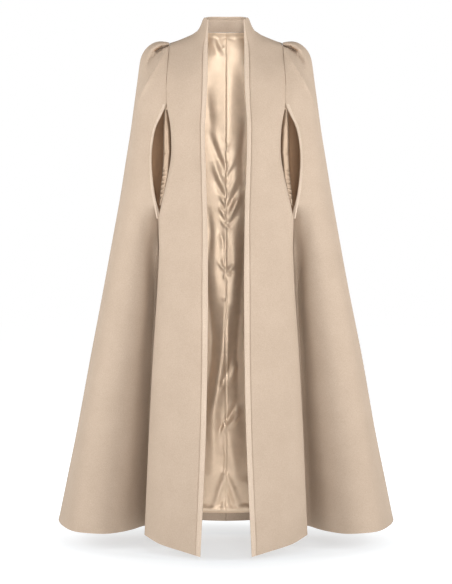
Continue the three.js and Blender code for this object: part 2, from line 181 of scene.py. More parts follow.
# Steps of the fine mesh of the satin roll in a slit
ROLL_STEP = 0.0022
ROLL_SMOOTHING_STEP = 0.004

# The lamps: place and target, the size of the soft light in metres, and its power in watts
Lamp = namedtuple("Lamp", "name place target width height watts")
LAMPS = (
    Lamp("front", (0.50, -4.6, 0.85), (0, 0, -0.7), 1.2, 1.8, 69),
    Lamp("front low", (0.25, -4.6, -1.15), (0, 0, -1.2), 0.8, 0.4, 42),
    Lamp("left", (-2.4, -4.0, 0.3), (0, 0, -0.7), 1.2, 2.4, 29),
    Lamp("right", (2.5, -4.0, 0.3), (0, 0, -0.7), 1.2, 2.4, 27),
    Lamp("far left", (-3.4, -1.4, 0.2), (0, 0, -0.7), 1.2, 2.4, 89),
    Lamp("far right", (3.4, -1.4, 0.2), (0, 0, -0.7), 1.2, 2.4, 89),
    Lamp("above", (0, -1.6, 2.4), (0, 0, -0.6), 1.6, 1.6, 17),
    Lamp("rear left", (-2.6, 3.4, 0.4), (0, 0, -0.7), 1.6, 2.4, 42),
    Lamp("rear right", (2.6, 3.4, 0.4), (0, 0, -0.7), 1.6, 2.4, 36),
)
STUDIO_LIGHT = 0.06
BACKDROP_LIGHT = 1.0

# The floor and its glow, painted light that is dimmer near the coat as painted shade: from and to
# distances from the origin, with the glow at each
FLOOR_SIZE = 60
NEAR_GLOW = (1.46, 1.54, 0.62, 0.87)
FAR_GLOW = (1.54, 1.95, 0.0, 0.11)

# A soft ridge (height above 0) or trough: the points (x, z) it runs through as seen from the
# front, the half width of its rounded section, and its height, all in millimetres
Fold = namedtuple("Fold", "path width height")

# Folds of the puffed shoulder, for the side where x is below 0; the other side mirrors them
SHOULDER_FOLDS = (
    # the pleat beside the princess seam, the roll above it and the hollow under its end
    Fold(((-156, -9), (-166, -13), (-178, -17), (-189, -22), (-200, -29)), 2.4, -19.0),
    Fold(((-182, -21), (-192, -26), (-204, -33)), 4.4, -15.0),
    Fold(((-160, -2), (-178, -6), (-196, -12), (-214, -26)), 6, 4.0),
    Fold(((-188, -28), (-200, -40), (-212, -56), (-220, -72)), 8, -12.0),
    # the ridge that runs from the pleat down to the side, and the slack beside it
    Fold(((-176, -42), (-190, -72), (-206, -102), (-223, -132), (-241, -166), (-254, -204)),
         5.0, 7.0),
    Fold(((-210, -60), (-226, -96), (-242, -136)), 13, -4.0),
    Fold(((-168, -60), (-188, -106), (-208, -156)), 15, -4.0),
)

# Pinched folds across the rolled lining of a slit, for the side where x is below 0
SLIT_ROLL_FOLDS = (
    Fold(((-182, -377), (-166, -370)), 3.2, -4.0),
    Fold(((-183, -389), (-167, -381)), 2.8, -4.7),
    Fold(((-182, -401), (-168, -395)), 3.4, -4.0),
    Fold(((-186, -414), (-169, -405)), 2.8, -5.0),
    Fold(((-186, -426), (-171, -421)), 3.0, -4.0),
    Fold(((-188, -440), (-172, -431)), 3.2, -4.7),
    Fold(((-190, -452), (-175, -446)), 2.8, -3.6),
    Fold(((-178, -330), (-164, -322)), 4.0, -2.5),
    # the dark hollow between the roll and the front panel's edge
    Fold(((-160, -208), (-152, -260), (-149, -320), (-154, -385), (-165, -440), (-178, -482)),
         5.2, -28.0),
)

# Folds of the back lining, from the neck down to its hem
BACK_LINING_FOLDS = (
    # the neck: a rippled edge, a slack corner on the left and two tacks
    Fold(((-26, 44), (-8, 41), (12, 43), (34, 44)), 5, 3.0),
    Fold(((-34, 40), (-22, 12), (-8, -14)), 9, 3.5),
    Fold(((-54, 30), (-34, -2), (-18, -26)), 14, -4.5),
    Fold(((6, 38), (16, 26), (30, 20)), 6, 2.2),
    Fold(((-5, 24), (-3, 19)), 4, -2.4),
    Fold(((-9, 0), (-7, -5)), 4, -2.6),
    # the smooth upper back
    Fold(((-18, -10), (-20, -90), (-18, -170), (-12, -240), (-6, -310)), 30, 5.0),
    Fold(((14, 10), (14, -90), (12, -180), (12, -280)), 20, 5.0),
    Fold(((54, -10), (54, -110), (56, -200), (54, -300)), 16, -3.0),
    Fold(((58, -220), (52, -320), (50, -440)), 17, -11.0),
    Fold(((-56, -130), (-48, -200), (-38, -255)), 12, -4.0),
    # folds that run down into the centre back seam from the left
    Fold(((-44, -222), (-24, -282), (-7, -328)), 13, 4.5),
    Fold(((-42, -258), (-24, -312), (-6, -358)), 10, -6.0),
    Fold(((-32, -340), (-17, -380), (-3, -407)), 9, 6.5),
    Fold(((-27, -392), (-13, -422), (-3, -438)), 7, -4.5),
    Fold(((-17, -424), (-7, -442), (-1, -456)), 5.5, 4.6),
    Fold(((-13, -450), (-4, -474)), 4.5, -3.8),
    Fold(((-15, -466), (-7, -480), (-2, -493)), 5.0, 4.4),
    Fold(((-13, -487), (-3, -508)), 4.0, -3.4),
    Fold(((-12, -496), (-3, -514), (8, -527)), 4.6, 4.2),
    # and from the right
    Fold(((26, -306), (16, -336), (5, -362)), 10, 3.4),
    Fold(((22, -346), (10, -368), (3, -380)), 6, -2.6),
    Fold(((28, -380), (14, -408), (4, -428)), 8, 3.6),
    Fold(((34, -408), (18, -440), (6, -464)), 7, -4.2),
    Fold(((38, -436), (24, -462), (9, -492)), 8, 6.2),
    Fold(((32, -484), (18, -504), (9, -512)), 7, -2.8),
    # small gathers along the seam
    Fold(((-9, -262), (-1, -272)), 3.6, 1.8),
    Fold(((9, -278), (2, -288)), 3.6, 1.9),
    Fold(((-8, -294), (-1, -302)), 3.4, -1.6),
    Fold(((10, -298), (2, -310)), 3.8, -1.7),
    Fold(((-9, -318), (-2, -328)), 3.6, 1.6),
    Fold(((8, -330), (2, -340)), 3.4, 1.8),
    Fold(((-9, -358), (-2, -368)), 3.6, 2.0),
    Fold(((8, -386), (2, -394)), 3.4, 1.6),
    # between the folds and the star
    Fold(((-34, -520), (-30, -580), (-30, -650), (-26, -720)), 17, 4.0),
    Fold(((16, -530), (22, -590), (22, -650), (18, -720), (16, -800)), 15, 5.0),
    Fold(((-16, -534), (-8, -560), (-7, -592)), 7, -3.6),
    Fold(((-7, -606), (-3, -638)), 4.5, -2.8),
    Fold(((-20, -622), (-10, -636), (-3, -645)), 5, 4.4),
    Fold(((22, -630), (12, -640), (5, -650)), 5.5, 4.2),
    Fold(((-1, -654), (-2, -674)), 4.5, 3.0),
    Fold(((-15, -643), (-5, -654)), 4, -2.4),
    Fold(((14, -652), (4, -662)), 4, -2.2),
    Fold(((-8, -724), (-1, -737)), 4, 2.2),
    # the broad ridge that leans to the left further down
    Fold(((2, -760), (0, -820), (-6, -890), (-14, -950), (-24, -1010), (-34, -1060),
          (-36, -1120), (-36, -1180), (-40, -1250)), 15, 12.0),
    Fold(((-8, -700), (-10, -860), (-20, -980), (-30, -1080)), 24, 9.0),
    Fold(((56, -440), (54, -600), (50, -720), (46, -820), (40, -900), (44, -1010), (54, -1110),
          (60, -1250)), 20, -14.0),
    Fold(((-64, -640), (-58, -740), (-48, -850), (-54, -960), (-66, -1060)), 17, -17.0),
    Fold(((-52, -470), (-44, -540), (-48, -610)), 9, -4.0),
    Fold(((-22, -884), (-4, -889), (16, -886)), 3.4, -1.1),
    Fold(((12, -900), (6, -930), (-3, -958)), 6, -4.4),
    Fold(((30, -922), (20, -948), (8, -980)), 8, 6.4),
    Fold(((-5, -956), (-10, -984)), 4.2, -4.6),
    Fold(((-4, -986), (-12, -1006)), 4.4, 3.4),
    Fold(((30, -1036), (16, -1066), (0, -1092)), 7, -5.6),
    Fold(((38, -1066), (20, -1092), (1, -1112)), 8, 8.6),
    Fold(((-8, -1094), (-4, -1102)), 4.4, 4.0),
    Fold(((-5, -1108), (-12, -1132)), 5, 3.2),
    Fold(((-14, -1080), (-9, -1100), (-16, -1116)), 5, -3.6),
    # the long hollows below, and the forked ridge above the hem
    Fold(((8, -1130), (16, -1190), (24, -1240), (30, -1290)), 15, 5.0),
    Fold(((-12, -1170), (-6, -1200), (-8, -1236)), 5, -3.4),
    Fold(((-4, -1254), (-14, -1290), (-22, -1322), (-34, -1352)), 8.5, 7.0),
    Fold(((0, -1254), (12, -1286), (24, -1318), (36, -1350)), 9, 7.6),
    Fold(((4, -1284), (9, -1314), (20, -1350)), 5.5, -4.4),
    Fold(((-8, -1292), (-14, -1324), (-16, -1348)), 5, -2.8),
    Fold(((-8, -1334), (-4, -1348)), 5, 4.2),
    Fold(((-62, -1350), (-44, -1354), (-28, -1352)), 6, 2.8),
    Fold(((34, -1350), (50, -1346), (66, -1350)), 6, 3.0),
)


# Reading the cloth walls from the frame

def merged_triangles(node):
    """Points and triangles of a CAD node, with its loose corners joined."""
    bm = bmesh.new()
    bm.from_mesh(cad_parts[node].data)
    bmesh.ops.remove_doubles(bm, verts=bm.verts, dist=SAME_PLACE)
    points = np.array([v.co for v in bm.verts], float)
    faces = [tuple(v.index for v in f.verts) for f in bm.faces]
    bm.free()
    return points, faces


def sheets_of(points, faces, wall):
    """The two skins of a wall: what is left when its edge faces are taken away.

    An edge face has a side exactly as long as the wall is thick."""
    def has_post(face):
        sides = (np.linalg.norm(points[face[k - 1]] - points[face[k]]) for k in range(3))
        return any(abs(length - wall) < SAME_LENGTH for length in sides)

    skin = [face for face in faces if not has_post(face)]
    parent = {v: v for face in skin for v in face}

    def root(v):
        while parent[v] != v:
            parent[v] = parent[parent[v]]
            v = parent[v]
        return v

    for a, b, c in skin:
        parent[root(a)] = root(b)
        parent[root(b)] = root(c)
    groups = {}
    for face in skin:
        groups.setdefault(root(face[0]), []).append(face)
    return sorted(groups.values(), key=len)[-2:]


def facing(points, face):
    """The direction a triangle faces, as long as twice its area."""
    a, b, c = (points[v] for v in face)
    return np.cross(b - a, c - a)


def outer_skin(points, faces, wall):
    """The skin that faces away from the body's upright axis."""
    def outwards(skin):
        area = sum(facing(points, face) for face in skin)
        middle = points[[v for face in skin for v in face]].mean(axis=0)
        return area[0] * middle[0] + area[1] * middle[1]

    return max(sheets_of(points, faces, wall), key=outwards)


def grid_places(skin):
    """Row and column of each corner of a skin that is a grid of split squares.

    It starts at a triangle with a corner of its own, and goes on over shared sides: the
    triangles of a grid lie one way round and the other by turns."""
    uses = Counter(v for face in skin for v in face)
    seed = next(face for face in skin if any(uses[v] == 1 for v in face))
    tip = next(k for k in range(3) if uses[seed[k]] == 1)
    across = {(f[k], f[(k + 1) % 3]): f for f in skin for k in range(3)}
    place = {seed[tip]: (0, 0)}
    first = (tip + 1) % 3
    todo = [(seed[first:] + seed[:first], 1)]
    done = {frozenset(seed)}
    while todo:
        (x, y, z), sign = todo.pop()
        steps = {(x, y): (-sign, -sign), (y, z): (sign, 0), (z, x): (0, sign)}
        for _ in range(3):
            for (a, b), (di, dj) in steps.items():
                if a in place:
                    place.setdefault(b, (place[a][0] + di, place[a][1] + dj))
        for k, (a, b) in enumerate(((x, y), (y, z), (z, x))):
            other = across.get((b, a))
            if other is None or frozenset(other) in done:
                continue
            done.add(frozenset(other))
            at = (other.index(b) - k) % 3
            todo.append((other[at:] + other[:at], -sign))
    return place


def wall_grid(node, wall):
    """A wall's outer points as grid[level][place], down from the top, and out or round."""
    points, faces = merged_triangles(node)
    skin = outer_skin(points, faces, wall)
    place = grid_places(skin)
    low = np.min(list(place.values()), axis=0)
    size = np.max(list(place.values()), axis=0) - low + 1
    if size[0] * size[1] != len(place):
        raise RuntimeError(f"{node} isn't a grid")
    grid = np.zeros((*size, 3))
    for v, (i, j) in place.items():
        grid[i - low[0], j - low[1]] = points[v]
    if np.ptp(grid[..., 2], axis=0).mean() < np.ptp(grid[..., 2], axis=1).mean():
        grid = grid.transpose(1, 0, 2)
    if grid[0, :, 2].mean() < grid[-1, :, 2].mean():
        grid = grid[::-1]
    normal = sum(facing(points, face) for face in skin)
    turn = np.cross(grid[1:, :-1] - grid[:-1, :-1], grid[:-1, 1:] - grid[:-1, :-1])
    side = -1.0 if node.endswith("right") else 1.0
    if np.dot(turn.sum((0, 1)), normal) * side < 0:
        grid = grid[:, ::-1]
    return grid


# Fine surfaces

def through(points, spots):
    """Smooth lines through the points along the first axis, read at the given spots."""
    ends = np.concatenate([2 * points[:1] - points[1:2], points, 2 * points[-1:] - points[-2:-1]])
    gaps = np.sqrt(np.maximum(np.linalg.norm(np.diff(ends, axis=0), axis=-1), 1e-9))[..., None]
    k = np.minimum(spots.astype(int), len(points) - 2)
    s = (spots - k)[:, None, None]
    p0, p1, p2, p3 = (ends[k + n] for n in range(4))
    d0, d1, d2 = (gaps[k + n] for n in range(3))
    m1 = ((p1 - p0) / d0 - (p2 - p0) / (d0 + d1) + (p2 - p1) / d1) * d1
    m2 = ((p2 - p1) / d1 - (p3 - p1) / (d1 + d2) + (p3 - p2) / d2) * d1
    start = (2 * s**3 - 3 * s**2 + 1) * p1 + (s**3 - 2 * s**2 + s) * m1
    return start + (3 * s**2 - 2 * s**3) * p2 + (s**3 - s**2) * m2


def evenly(start, end, step):
    """Places from start to end, about a step apart."""
    return np.linspace(start, end, max(2, int(round((end - start) / step)) + 1))


def spots_along(points, step, edge_steps, fine_length=0.0):
    """Places to read a grid along its first axis: even steps, and finer ones at both ends.

    The first fine_length of it has shorter steps."""
    lengths = np.linalg.norm(np.diff(points, axis=0), axis=-1).mean(axis=1)
    cumulative = np.concatenate([[0], np.cumsum(lengths)])
    total = cumulative[-1]
    start, end = edge_steps[-1], total - edge_steps[-1]
    middle = evenly(start + fine_length, end, step)
    if fine_length:
        finest_end, fine_end = start + FINEST_SHARE * fine_length, start + fine_length
        finest = evenly(start, finest_end, FINEST_STEP * step)
        fine = evenly(finest_end, fine_end, FINE_STEP * step)
        middle = np.concatenate([finest, fine[1:], middle[1:]])
    marks = np.concatenate([edge_steps[:-1], middle, total - np.array(edge_steps[:-1])[::-1]])
    return np.interp(marks, cumulative, np.arange(len(cumulative)))


def resampled(points, step, edge_steps, fine_length=0.0):
    """A grid read smoothly at new places, down and across."""
    points = through(points, spots_along(points, step, edge_steps, fine_length))
    turned = points.transpose(1, 0, 2)
    return through(turned, spots_along(turned, step, edge_steps)).transpose(1, 0, 2)


def relax(points, times):
    """Evens out a surface inside its edges, and its edges along themselves."""
    for _ in range(times):
        mean = (points[:-2, 1:-1] + points[2:, 1:-1] + points[1:-1, :-2] + points[1:-1, 2:]) / 4
        points[1:-1, 1:-1] += 0.5 * (mean - points[1:-1, 1:-1])
    return points


def normals_of(points, side):
    """Unit normals of a grid of points, away from the body."""
    down = np.gradient(points, axis=0)
    across = np.gradient(points, axis=1)
    normal = np.cross(down, across) * side
    return normal / np.maximum(np.linalg.norm(normal, axis=-1, keepdims=True), 1e-12)


def distance_to(path, x, z):
    """Distance in front view to a path, and how far along it the nearest place is, 0 to 1."""
    best = np.full(x.shape, 1e9)
    share = np.zeros(x.shape)
    spans = len(path) - 1
    for k, ((ax, az), (bx, bz)) in enumerate(zip(path, path[1:])):
        dx, dz = bx - ax, bz - az
        t = np.clip(((x - ax) * dx + (z - az) * dz) / (dx * dx + dz * dz), 0, 1)
        d = np.hypot(x - ax - t * dx, z - az - t * dz)
        nearer = d < best
        best = np.where(nearer, d, best)
        share = np.where(nearer, (k + t) / spans, share)
    return best, share


def fold_height(folds, points):
    """Height of all folds at each point, in metres, each fading out towards its ends."""
    x, z = points[..., 0] * MILLIMETRES, points[..., 2] * MILLIMETRES
    height = np.zeros(x.shape)
    for fold in folds:
        low = np.min(fold.path, axis=0) - FOLD_REACH * fold.width
        high = np.max(fold.path, axis=0) + FOLD_REACH * fold.width
        near = (x > low[0]) & (x < high[0]) & (z > low[1]) & (z < high[1])
        d, share = distance_to(fold.path, x[near], z[near])
        fade = np.sqrt(np.sin(np.pi * np.clip(share, FOLD_END, 1 - FOLD_END)))
        height[near] += fold.height * fade * bell(d, fold.width)
    return height / MILLIMETRES


def no_lower_than(height, floor, softness):
    """Height kept above a floor, with a soft turn where it would go lower."""
    return floor + softness * np.logaddexp(0, (height - floor) / softness)


def bell(distance, width):
    """1 where the distance is 0, falling softly to 0 over about two widths."""
    return np.exp(-((distance / width) ** 2))


def line_height(line, distance):
    """Height of a line in the cloth, at a distance from the edge that it follows."""
    return line.height * bell(distance - line.place, line.width)


def lengths_on(points):
    """Distance of each point from the first column and from the first row, on the cloth."""
    run = np.linalg.norm(np.diff(points, axis=1), axis=-1)
    drop = np.linalg.norm(np.diff(points, axis=0), axis=-1)
    across = np.concatenate([np.zeros((len(points), 1)), np.cumsum(run, axis=1)], axis=1)
    down = np.concatenate([np.zeros((1, points.shape[1])), np.cumsum(drop, axis=0)], axis=0)
    return across, down


def from_edge(points, column):
    """Distance of each point from the first (0) or last (-1) column, measured on the cloth."""
    across = lengths_on(points)[0]
    return across if column == 0 else across[:, -1:] - across


def from_hem(points):
    """Distance of each point from the last row, measured on the cloth."""
    down = lengths_on(points)[1]
    return down[-1:] - down


def edge_fade(points, widths):
    """0 at the edges (top, bottom, first column, last column), 1 further in than the widths."""
    across, down = lengths_on(points)
    distances = (down, down[-1:] - down, across, across[:, -1:] - across)
    fade = np.ones(points.shape[:2])
    for distance, width in zip(distances, widths):
        if width:
            t = np.clip(distance / width, 0, 1)
            fade *= t * t * (3 - 2 * t)
    return fade


def seam_dip(points, first, last, depth, width):
    """Height of the pressed seams along the first and last column, below 0, with their shares."""
    near, far = from_edge(points, 0), from_edge(points, -1)
    return -depth * (first * bell(near, width) + last * bell(far, width))


def front_column(points):
    """The long edge that lies nearer to the front: the first (0) or last (-1) column."""
    return 0 if points[:, 0, 1].mean() < points[:, -1, 1].mean() else -1


def outer_column(points):
    """The long edge that lies further from the middle: the first (0) or last (-1) column."""
    return 0 if abs(points[:, 0, 0]).mean() > abs(points[:, -1, 0]).mean() else -1


def at_depth(points, rows):
    """A size read from rows of (depth below the shoulders, size), at each point's depth."""
    depths, values = zip(*rows)
    return np.interp(-points[..., 2], depths, values)


def push_groove(points, free_edge):
    """Sinks the side cloth behind the front panel's edge, from the slit down to the hem.

    A free edge goes back with the cloth, and a sewn one stays at the seam."""
    s = from_edge(points, front_column(points))
    beside = np.maximum(abs(points[..., 0]) - at_depth(points, FRONT_EDGE_PLACES), 0)
    start = 1.0 if free_edge else np.clip(s / SEWN_WIDTH, 0, 1)
    near = np.clip((VISIBLE_REACH - s) / REACH_FADE, 0, 1)
    hidden = at_depth(points, HIDDEN_DEPTHS) * np.exp(-s / at_depth(points, HIDDEN_WIDTHS))
    visible = at_depth(points, VISIBLE_DEPTHS) * near * bell(beside, VISIBLE_WIDTH)
    points[..., 1] += start * (hidden + visible)


def push_folds(points, normals, folds, side):
    """Moves puffed cloth forwards or back along its folds, and its hidden back likewise."""
    fade = edge_fade(points, (0.0, 0.0, FOLD_FADE, FOLD_FADE))
    height = fade * fold_height(folds, points * (-side, 1, 1))
    points[..., 1] += height * np.tanh(TURN_SHARPNESS * normals[..., 1])


def cloth_mesh(name, points, normals, wall, side):
    """A closed cloth mesh: outer skin, inner skin and edges, with cloth coordinates."""
    rows, columns = points.shape[:2]
    inner = points - normals * np.asarray(wall)[..., None]
    verts = np.concatenate([points.reshape(-1, 3), inner.reshape(-1, 3)])
    number = np.arange(rows * columns).reshape(rows, columns)
    under = number + rows * columns

    def quads(a, b, c, d):
        return np.stack([a.ravel(), b.ravel(), c.ravel(), d.ravel()], axis=1)

    faces = [
        quads(number[:-1, :-1], number[1:, :-1], number[1:, 1:], number[:-1, 1:]),
        quads(under[:-1, :-1], under[:-1, 1:], under[1:, 1:], under[1:, :-1]),
        quads(number[0, :-1], number[0, 1:], under[0, 1:], under[0, :-1]),
        quads(number[-1, 1:], number[-1, :-1], under[-1, :-1], under[-1, 1:]),
        quads(number[1:, 0], number[:-1, 0], under[:-1, 0], under[1:, 0]),
        quads(number[:-1, -1], number[1:, -1], under[1:, -1], under[:-1, -1]),
    ]
    faces = np.concatenate(faces)
    if side < 0:
        faces = faces[:, ::-1]
    mesh = bpy.data.meshes.new(name)
    mesh.from_pydata(verts.tolist(), [], faces.tolist())
    across, down = lengths_on(points)
    place = np.stack([across.ravel(), -down.ravel()], axis=1)
    place = np.concatenate([place, place])
    layer = mesh.uv_layers.new(name="Cloth")
    corners = np.zeros(len(mesh.loops), int)
    mesh.loops.foreach_get("vertex_index", corners)
    layer.data.foreach_set("uv", place[corners].astype(np.float32).ravel())
    mesh.validate()
    piece = bpy.data.objects.new(name, mesh)
    bpy.context.collection.objects.link(piece)
    for other in bpy.context.selected_objects:
        other.select_set(False)
    bpy.context.view_layer.objects.active = piece
    piece.select_set(True)
    bpy.ops.object.shade_smooth_by_angle(angle=math.radians(SHARP_ANGLE))
    piece.select_set(False)
    return piece


def surface_of(node, wall, side, step, smooth=5, even_step=SMOOTHING_STEP, edges=EDGE_STEPS,
               fine_length=0.0):
    """A node's outer surface as a fine grid of points, with its unit normals."""
    grid = wall_grid(node, wall)
    even = relax(resampled(grid, even_step, (0.0,)), smooth)
    points = resampled(even, step, edges, fine_length)
    return points, normals_of(points, side)


def meet_at_centre(points):
    """Brings the centre back edge to the middle, so that the halves touch; true if it's first."""
    first, last = abs(points[:, 0, 0]).mean(), abs(points[:, -1, 0]).mean()
    points[:, 0 if first < last else -1, 0] = 0.0
    return first < last


def reach_out(points, column, reach):
    """Moves the first (0) or last (-1) column outwards, so that a sewn edge meets the next."""
    step = points[:, column] - points[:, 1 if column == 0 else -2]
    step /= np.linalg.norm(step, axis=-1, keepdims=True)
    points[:, column] += reach[:, column, None] * step


def finish_cloth(piece, node, material):
    """Gives a piece its material, hangs it under the root and hides the solid that it replaces."""
    piece.data.materials.append(material)
    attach(piece, "root")
    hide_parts(node)


# Sizes and colours that a user may change

class CapeSizes(bpy.types.PropertyGroup):
    step: FloatProperty(
        name="Mesh step", description="Distance between points of the fine cloth",
        default=0.007, unit="LENGTH")
    fold_step: FloatProperty(
        name="Fold mesh step", description="Distance between points of the folded lining",
        default=0.0032, unit="LENGTH")
    lining_slack: FloatProperty(
        name="Lining slack", description="Distance that the lining hangs away from the wool",
        default=0.0110, unit="LENGTH")
    seam_depth: FloatProperty(
        name="Seam depth", description="How deep a pressed seam lies in the wool",
        default=0.0009, unit="LENGTH")
    seam_width: FloatProperty(
        name="Seam width", description="Half width of the hollow along a seam",
        default=0.0022, unit="LENGTH")
    wool_relief: FloatProperty(
        name="Wool relief", description="Height of the wool's slow unevenness",
        default=0.0012, unit="LENGTH")
    floor_gap: FloatProperty(
        name="Floor gap", description="Height of the front hem above the floor",
        default=0.012, unit="LENGTH")


class CapeColours(bpy.types.PropertyGroup):
    wool: FloatVectorProperty(
        name="Wool", description="Base colour of the melton wool", subtype="COLOR",
        size=3, default=(0.404, 0.317, 0.243))
    # Painted light: a lighter copy of the wool, for the pressed bands, the lips and the back collar
    wool_edge: FloatVectorProperty(
        name="Wool, painted lighter", description="Base colour of the pressed bands, lips and back collar",
        subtype="COLOR", size=3, default=(0.480, 0.384, 0.301))
    satin: FloatVectorProperty(
        name="Satin", description="Base colour of the lining", subtype="COLOR",
        size=3, default=(0.865, 0.683, 0.508))
    # Painted shade: a darker copy of the satin, for the linings at the arm slits, where little light
    # gets in
    satin_of_sides_painted_dark: FloatVectorProperty(
        name="Satin of the sides, painted dark", description="Base colour of the linings at the arm slits",
        subtype="COLOR", size=3, default=(0.312, 0.180, 0.094))
    # Painted shade: a darker copy of the satin, for the satin rolled out at the arm slits
    satin_of_rolls_painted_dark: FloatVectorProperty(
        name="Satin of the rolls, painted dark", description="Base colour of the satin rolled out at the arm slits",
        subtype="COLOR", size=3, default=(0.420, 0.308, 0.216))
    floor: FloatVectorProperty(
        name="Floor", description="Colour of the floor and backdrop", subtype="COLOR",
        size=3, default=(0.315, 0.34, 0.36))


def sizes():
    """The sizes in the scene's panel."""
    return bpy.context.scene.cape_sizes


def colours():
    """The colours in the scene's panel."""
    return bpy.context.scene.cape_colours


# Shader node groups and materials

def node_group(name, inputs, outputs):
    """A new shader node group with its sockets, and its two end nodes."""
    tree = bpy.data.node_groups.new(name, "ShaderNodeTree")
    for label, kind, default in inputs:
        socket = tree.interface.new_socket(label, in_out="INPUT", socket_type=kind)
        socket.default_value = default
    for label, kind in outputs:
        tree.interface.new_socket(label, in_out="OUTPUT", socket_type=kind)
    return tree, tree.nodes.new("NodeGroupInput"), tree.nodes.new("NodeGroupOutput")


def noise(tree, vector, scale, detail, roughness=0.5):
    """Noise at a place, 0 to 1. The scale is a number or a socket."""
    texture = tree.nodes.new("ShaderNodeTexNoise")
    texture.inputs["Detail"].default_value = detail
    texture.inputs["Roughness"].default_value = roughness
    if isinstance(scale, (int, float)):
        texture.inputs["Scale"].default_value = scale
    else:
        tree.links.new(scale, texture.inputs["Scale"])
    tree.links.new(vector, texture.inputs["Vector"])
    return texture.outputs["Fac"]


def math_node(tree, operation, a, b):
    """The result of an operation on two values, each a number or a socket."""
    node = tree.nodes.new("ShaderNodeMath")
    node.operation = operation
    for socket, value in zip(node.inputs, (a, b)):
        if isinstance(value, (int, float)):
            socket.default_value = value
        else:
            tree.links.new(value, socket)
    return node.outputs[0]


def map_range(tree, value, low, high, to_low, to_high):
    """A value moved from one range to another, and kept inside it."""
    node = tree.nodes.new("ShaderNodeMapRange")
    for name, number in zip(("From Min", "From Max", "To Min", "To Max"),
                            (low, high, to_low, to_high)):
        node.inputs[name].default_value = number
    tree.links.new(value, node.inputs["Value"])
    return node.outputs["Result"]


def nap_group():
    """Felted wool nap: a height for the bump, and a mottle for the colour."""
    tree, given, result = node_group(
        "Wool nap",
        [("Place", "NodeSocketVector", (0, 0, 0)), ("Fineness", "NodeSocketFloat", FIBRES)],
        [("Height", "NodeSocketFloat"), ("Mottle", "NodeSocketFloat")])
    place = given.outputs["Place"]
    fibres = noise(tree, place, given.outputs["Fineness"], 3.0, 0.65)
    clumps = noise(tree, place, 170.0, 3.0, 0.55)
    fibre_height = math_node(tree, "MULTIPLY", fibres, 0.55)
    clump_height = math_node(tree, "MULTIPLY", clumps, 0.45)
    tree.links.new(math_node(tree, "ADD", fibre_height, clump_height), result.inputs["Height"])
    cloudy = noise(tree, place, 11.0, 3.0, 0.6)
    speckle = noise(tree, place, 420.0, 2.0, 0.6)
    slow = math_node(tree, "MULTIPLY", cloudy, 0.3)
    fast = math_node(tree, "MULTIPLY", speckle, 0.7)
    tree.links.new(math_node(tree, "ADD", slow, fast), result.inputs["Mottle"])
    return tree


def new_material(name):
    """An empty node material with its surface shader."""
    material = bpy.data.materials.new(name)
    material.use_nodes = True
    tree = material.node_tree
    tree.nodes.clear()
    surface = tree.nodes.new("ShaderNodeBsdfPrincipled")
    out = tree.nodes.new("ShaderNodeOutputMaterial")
    tree.links.new(surface.outputs["BSDF"], out.inputs["Surface"])
    return material, tree, surface


def mix_colours(tree, factor, dark, light):
    """A colour between two, by a factor."""
    mix = tree.nodes.new("ShaderNodeMix")
    mix.data_type = "RGBA"
    mix.inputs["A"].default_value = (*dark, 1)
    mix.inputs["B"].default_value = (*light, 1)
    tree.links.new(factor, mix.inputs["Factor"])
    return mix.outputs["Result"]


def shaded(colour, factor):
    """A colour multiplied channel by channel."""
    return tuple(min(1.0, c * f) for c, f in zip(colour, factor))


def wool_material(name, colour):
    """Melton wool: matt, closely felted, with a soft bloom and a slight colour mottle."""
    if name in bpy.data.materials:
        return bpy.data.materials[name]
    material, tree, surface = new_material(name)
    coordinates = tree.nodes.new("ShaderNodeTexCoord")
    nap = tree.nodes.new("ShaderNodeGroup")
    nap.node_tree = bpy.data.node_groups.get("Wool nap") or nap_group()
    nap.inputs["Fineness"].default_value = FIBRES
    tree.links.new(coordinates.outputs["Object"], nap.inputs["Place"])
    factor = map_range(tree, nap.outputs["Mottle"], 0.36, 0.64, 0.0, 1.0)
    colour_out = mix_colours(tree, factor, shaded(colour, (0.92, 0.91, 0.90)),
                             shaded(colour, (1.07, 1.07, 1.08)))
    tree.links.new(colour_out, surface.inputs["Base Color"])
    rough = map_range(tree, nap.outputs["Height"], 0.3, 0.7, 0.95, 0.82)
    tree.links.new(rough, surface.inputs["Roughness"])
    bump = tree.nodes.new("ShaderNodeBump")
    bump.inputs["Strength"].default_value = 0.35
    bump.inputs["Distance"].default_value = 0.0012
    tree.links.new(nap.outputs["Height"], bump.inputs["Height"])
    tree.links.new(bump.outputs["Normal"], surface.inputs["Normal"])
    surface.inputs["Sheen Weight"].default_value = 0.12
    surface.inputs["Sheen Roughness"].default_value = 0.45
    surface.inputs["Sheen Tint"].default_value = (1.0, 0.86, 0.70, 1)
    surface.inputs["Specular IOR Level"].default_value = 0.12
    return material


